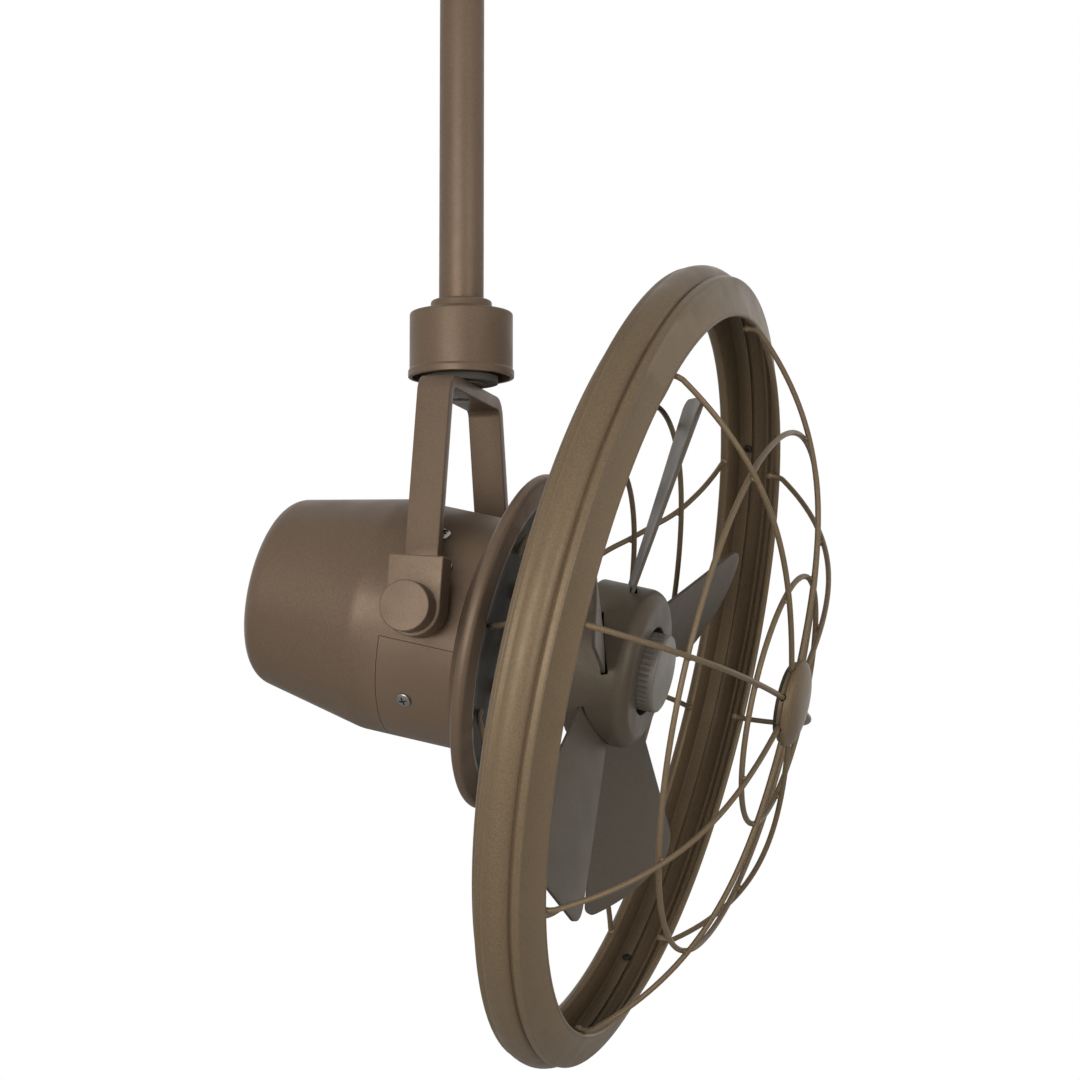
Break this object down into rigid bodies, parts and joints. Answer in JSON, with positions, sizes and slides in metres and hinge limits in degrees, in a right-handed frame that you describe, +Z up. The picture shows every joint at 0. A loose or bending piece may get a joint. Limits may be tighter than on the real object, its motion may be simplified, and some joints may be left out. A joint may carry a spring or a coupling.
{
  "type": "outdoor ceiling fan",
  "caption": "Caged outdoor ceiling fan on a downrod: a tapered motor head with a wire guard tilts and swivels in a flat-bar yoke.",
  "frame": {"origin": "on the rod's axis at the ceiling, at the middle of the hanger bracket's two slots and level with its top face", "axes": "+Z up along the downrod, +X the way the fan faces, +Y along the line of the slots and the tilt axis"},
  "size_m": [0.3407, 0.4736, 0.7405],
  "materials": {
    "bronze_paint": "satin oil-rubbed bronze paint on steel",
    "dark_bronze_paint": "satin near-black bronze paint on steel",
    "zinc_steel": "bright zinc plate",
    "black_steel": "blackened steel",
    "black_plastic": "moulded nylon",
    "hub_plastic": "moulded plastic, semi-matte",
    "cast_aluminium": "as cast",
    "core_steel": "stacked laminations",
    "winding_copper": "enamelled copper wire, modelled as brass",
    "bearing_steel": "ground steel",
    "blade_plastic": "weatherproof moulded plastic, grey-brown"
  },
  "bodies": {
    "ceiling_mount": {"hanger_bracket": "zinc_steel", "canopy": "bronze_paint", "canopy_screws": "black_steel"},
    "hung_rod": {"hanger_ball": "black_plastic", "ball_pin": "zinc_steel", "downrod": "bronze_paint", "rod_pin": "zinc_steel", "rod_set_screws": "black_steel", "coupling": "black_steel", "coupling_cover": "bronze_paint", "cover_set_screw": "black_steel", "swivel_bolt": "black_steel"},
    "yoke": {"friction_washer": "black_plastic", "yoke_bar": "bronze_paint", "lug_left": "bronze_paint", "lug_right": "bronze_paint"},
    "fan_head": {"tilt_studs": "zinc_steel", "rear_housing": "bronze_paint", "lower_cover": "bronze_paint", "housing_screws": "black_steel", "motor_frame": "cast_aluminium", "motor_front_plate": "cast_aluminium", "stator_core": "core_steel", "stator_windings": "winding_copper", "bearings": "bearing_steel", "capacitor": "black_plastic", "dish": "bronze_paint", "recess_plate": "dark_bronze_paint", "plate_screws": "black_steel", "rear_ring": "bronze_paint", "rear_spokes": "bronze_paint", "rear_wire_rings": "bronze_paint", "front_ring": "bronze_paint", "front_spokes": "bronze_paint", "front_wire_rings": "bronze_paint", "ring_screws": "dark_bronze_paint", "guard_cap": "bronze_paint", "cap_plate": "dark_bronze_paint", "cap_screw": "black_steel"},
    "rotor": {"motor_shaft": "zinc_steel", "rotor_core": "core_steel", "hub_drum": "hub_plastic", "hub_plate": "dark_bronze_paint", "hub_screws": "black_steel", "drive_pin": "zinc_steel", "blade_1": "blade_plastic", "blade_2": "blade_plastic", "blade_3": "blade_plastic", "blade_4": "blade_plastic", "blade_5": "blade_plastic"},
    "blade_nut": {"blade_nut": "hub_plastic"},
    "knob_left": {"knob_left": "bronze_paint"},
    "knob_right": {"knob_right": "bronze_paint"}
  },
  "joints": [
    {"name": "hanger_swing", "type": "hinge", "parent": "ceiling_mount", "child": "hung_rod", "pos_m": [0, 0, -0.04], "axis": [0, 1, 0], "range_deg": [-6, 6]},
    {"name": "yoke_swivel", "type": "hinge", "parent": "hung_rod", "child": "yoke", "pos_m": [0, 0, -0.3438], "axis": [0, 0, 1], "range_deg": [-170, 170]},
    {"name": "head_tilt", "type": "hinge", "parent": "yoke", "child": "fan_head", "pos_m": [0, 0, -0.4803], "axis": [0, 1, 0], "range_deg": [-20, 45]},
    {"name": "blade_spin", "type": "hinge", "parent": "fan_head", "child": "rotor", "pos_m": [0, 0, -0.4849], "axis": [0.9734, 0, -0.229], "continuous": true},
    {"name": "blade_nut_turn", "type": "hinge", "parent": "rotor", "child": "blade_nut", "pos_m": [0, 0, -0.4849], "axis": [0.9734, 0, -0.229], "range_deg": [0, 270]},
    {"name": "knob_left_turn", "type": "hinge", "parent": "fan_head", "child": "knob_left", "pos_m": [0, 0.1, -0.4803], "axis": [0, 1, 0], "range_deg": [0, 270]},
    {"name": "knob_right_turn", "type": "hinge", "parent": "fan_head", "child": "knob_right", "pos_m": [0, -0.1, -0.4803], "axis": [0, -1, 0], "range_deg": [0, 270]}
  ]
}
